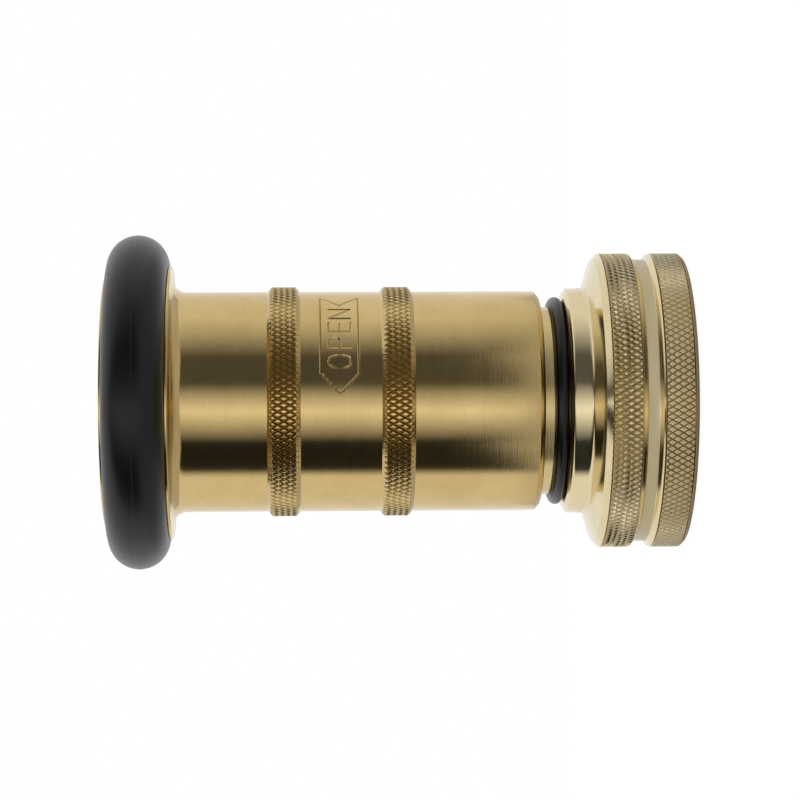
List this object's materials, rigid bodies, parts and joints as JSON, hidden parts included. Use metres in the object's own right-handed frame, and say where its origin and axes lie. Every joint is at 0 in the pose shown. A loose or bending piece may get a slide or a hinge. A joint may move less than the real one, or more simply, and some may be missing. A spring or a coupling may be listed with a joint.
{
  "type": "fire hose nozzle",
  "caption": "Brass twist fog nozzle for a fire hose: knurled swivel inlet coupling, twisting knurled barrel that goes from wide fog to shut, black rubber bumper around the mouth.",
  "frame": {"origin": "centre of the inlet face of the swivel coupling, on the nozzle axis", "axes": "+Z along the nozzle axis from inlet to mouth, the way water flows; -Y is the side that carries the OPEN mark's tip end; +X completes the right-handed frame"},
  "size_m": [0.0742, 0.0742, 0.1275],
  "materials": {
    "brass_coupling": "polished turned brass with diamond knurling",
    "brass_barrel": "satin brass with fine turning lines and diamond knurling",
    "brass_body": "machined brass",
    "brass_internal": "machined brass",
    "steel_hardware": "stainless steel",
    "rubber_seal": "black moulded rubber",
    "rubber_bumper": "black moulded rubber, slightly glossy"
  },
  "bodies": {
    "coupling": {"swivel_coupling": "brass_coupling", "hose_gasket": "rubber_seal", "swivel_balls": "steel_hardware", "ball_fill_plug": "brass_internal"},
    "nozzle_base": {"nozzle_body": "brass_body", "neck_stop_ring": "rubber_seal", "piston_ring": "rubber_seal", "stem_spider": "brass_internal", "spider_snap_ring": "steel_hardware", "stem": "brass_internal", "stem_nut": "steel_hardware", "stem_lock_washer": "steel_hardware", "seat_retainer": "brass_internal", "seat_washer": "rubber_seal", "baffle_head": "brass_internal", "head_nut": "steel_hardware"},
    "barrel_slider": {"barrel_wiper_ring": "rubber_seal"},
    "barrel": {"barrel": "brass_barrel", "bumper": "rubber_bumper", "fog_teeth_ring": "brass_internal"}
  },
  "joints": [
    {"name": "coupling_swivel", "type": "hinge", "parent": "coupling", "child": "nozzle_base", "pos_m": [0, 0, 0.0236], "axis": [0, 0, 1], "continuous": true},
    {"name": "barrel_advance", "type": "slide", "parent": "nozzle_base", "child": "barrel_slider", "axis": [0, 0, 1], "range_m": [-0.0022, 0.0098]},
    {"name": "barrel_twist", "type": "hinge", "parent": "barrel_slider", "child": "barrel", "pos_m": [0, 0, 0.06], "axis": [0, 0, 1], "range_deg": [-62.6, 278.1]}
  ],
  "couplings": [
    {"joint": "barrel_twist", "follows": "barrel_advance", "rad_per_m": 494.74}
  ]
}
